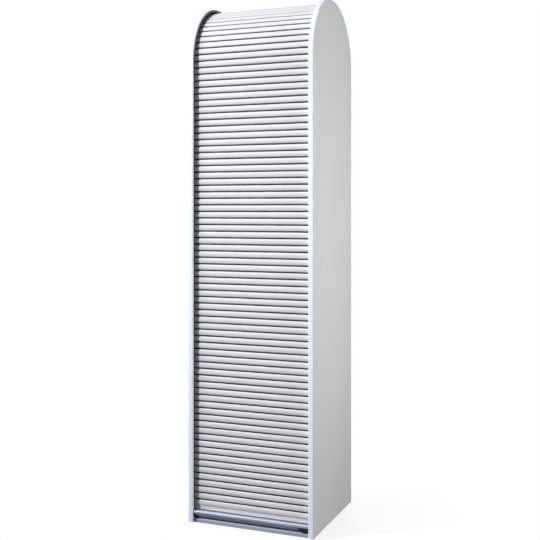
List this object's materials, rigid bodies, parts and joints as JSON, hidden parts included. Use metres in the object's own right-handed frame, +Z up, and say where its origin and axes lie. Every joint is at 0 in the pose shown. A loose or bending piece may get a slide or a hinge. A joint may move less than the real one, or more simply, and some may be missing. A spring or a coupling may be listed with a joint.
{
  "type": "roll-front storage cabinet",
  "caption": "Tall narrow storage cabinet with round-topped side panels, shelves inside and a slatted roll front that lifts by a handle rail at its foot.",
  "frame": {"origin": "centre of the base on the floor", "axes": "+Z up, -Y out of the front, +X to the right seen from the front"},
  "size_m": [0.485, 0.45, 1.92],
  "materials": {
    "side_board": "white melamine-faced chipboard, fine satin texture",
    "inner_board": "white melamine-faced chipboard, fine satin texture",
    "edge_band": "cool white plastic edge band, satin gloss",
    "hardboard": "white-coated thin fibreboard",
    "track": "dark grey extruded plastic",
    "black_plastic": "black moulded plastic, fine texture",
    "support_steel": "zinc-plated steel",
    "slat": "white extruded plastic, satin",
    "rail": "satin anodised aluminium extrusion",
    "buffer": "black rubber"
  },
  "bodies": {
    "cabinet": {"left_side_panel": "side_board", "right_side_panel": "side_board", "bottom_panel": "inner_board", "top_panel": "inner_board", "fixed_shelf": "inner_board", "loose_shelf_1": "inner_board", "loose_shelf_2": "inner_board", "left_edge_band": "edge_band", "right_edge_band": "edge_band", "bottom_edge_band": "edge_band", "shelf_edge_bands": "edge_band", "inner_back_panel": "hardboard", "back_panel": "hardboard", "left_guide_track": "track", "right_guide_track": "track", "tail_stops": "black_plastic", "shelf_supports": "support_steel", "top_slats": "slat"},
    "door": {"front_slats": "slat", "lead_slat": "slat", "handle_rail": "rail", "left_end_guide": "black_plastic", "right_end_guide": "black_plastic", "left_end_block": "black_plastic", "right_end_block": "black_plastic", "door_buffers": "buffer"},
    "tail": {"tail_slats": "slat"}
  },
  "joints": [
    {"name": "door_lift", "type": "slide", "parent": "cabinet", "child": "door", "axis": [0, 0, 1], "range_m": [0, 1.56], "deforming": ["front_slats"]},
    {"name": "tail_drop", "type": "slide", "parent": "cabinet", "child": "tail", "axis": [0, 0, -1], "range_m": [0, 1.56]}
  ],
  "couplings": [
    {"joint": "tail_drop", "follows": "door_lift", "ratio": 1}
  ]
}
